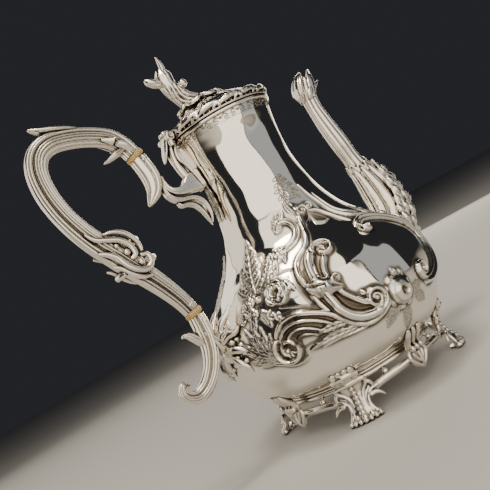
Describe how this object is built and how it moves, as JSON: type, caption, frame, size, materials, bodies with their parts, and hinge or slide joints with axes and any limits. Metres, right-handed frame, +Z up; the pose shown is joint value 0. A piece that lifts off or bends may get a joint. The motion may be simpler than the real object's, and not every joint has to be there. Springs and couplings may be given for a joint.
{
  "type": "coffee pot",
  "caption": "Footed silver coffee pot with a pear body, swan-neck spout, ivory-insulated scroll handle, pierced foot gallery and hinged lid with a bud finial.",
  "frame": {"origin": "on the surface that the feet stand on, under the middle of the whole outline", "axes": "+Z up, +X towards the spout, -X towards the handle"},
  "size_m": [0.2445, 0.1528, 0.265],
  "materials": {
    "polished_silver": "hand-polished silver with chased relief, darker in the recesses",
    "cast_silver": "cast and chased silver with dark recesses",
    "plain_silver": "plain silver with fine wear",
    "ivory": "aged ivory, warm yellow with fine grain"
  },
  "bodies": {
    "pot": {"body": "polished_silver", "neck": "polished_silver", "base_plate": "plain_silver", "mouth_rim": "cast_silver", "gallery_ring": "cast_silver", "gallery_scrolls": "cast_silver", "gallery_beads": "cast_silver", "foot_1": "cast_silver", "foot_2": "cast_silver", "foot_3": "cast_silver", "foot_4": "cast_silver", "pendant_1": "cast_silver", "pendant_2": "cast_silver", "pendant_3": "cast_silver", "pendant_4": "cast_silver", "spout_base": "cast_silver", "spout_tube": "cast_silver", "spout_mouth": "cast_silver", "upper_socket": "cast_silver", "hinge_bracket": "cast_silver", "upper_insulator": "ivory", "upper_pins": "plain_silver", "handle_grip": "cast_silver", "lower_insulator": "ivory", "lower_pins": "plain_silver", "lower_socket": "cast_silver", "lower_plate": "cast_silver", "hinge_pin": "plain_silver"},
    "lid": {"lid_dome": "polished_silver", "lid_border": "cast_silver", "lid_bezel": "plain_silver", "lid_hinge_leaf": "cast_silver", "finial_collar": "cast_silver", "finial": "cast_silver", "finial_stud": "plain_silver", "finial_washer": "plain_silver", "finial_nut": "plain_silver"}
  },
  "joints": [
    {"name": "lid_hinge", "type": "hinge", "parent": "pot", "child": "lid", "pos_m": [-0.0286, 0, 0.2068], "axis": [0, -1, 0], "range_deg": [0, 64]}
  ]
}
